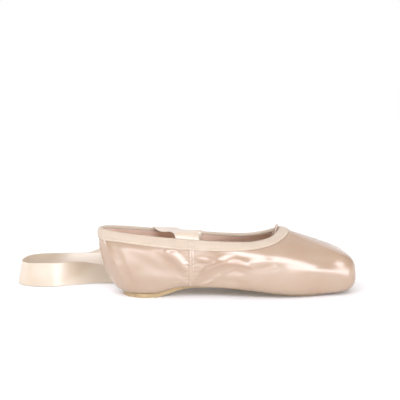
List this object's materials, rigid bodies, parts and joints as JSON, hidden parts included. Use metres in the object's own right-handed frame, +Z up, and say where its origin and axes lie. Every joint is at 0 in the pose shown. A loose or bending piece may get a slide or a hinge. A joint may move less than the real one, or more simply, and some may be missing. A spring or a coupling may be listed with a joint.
{
  "type": "pointe shoe",
  "caption": "Satin ballet pointe shoe: firm flat-ended toe box, drawstring casing round the low collar, thin leather sole, and satin ribbons laid down uncoiled beside it.",
  "frame": {"origin": "on the ground under the heel tread, on the shoe's middle line", "axes": "+X towards the toe, +Z up, +Y to the far side, where the ribbons lie; Z = 0 is the plane that the heel and forefoot rest on"},
  "size_m": [0.3158, 0.1703, 0.0637],
  "materials": {
    "satin": "satin, pale pink",
    "casing": "matt cotton tape, pale pink",
    "string": "matt cotton cord, pale pink",
    "ribbon_satin": "satin ribbon, cream pink",
    "sole_leather": "suede leather, tan",
    "insole_board": "matt board with a cotton sock, tan"
  },
  "bodies": {
    "root": {"upper": "satin", "binding": "casing", "drawstring": "string", "outsole": "sole_leather", "insole": "insole_board", "ribbon_near": "ribbon_satin", "ribbon_far": "ribbon_satin"}
  },
  "joints": []
}
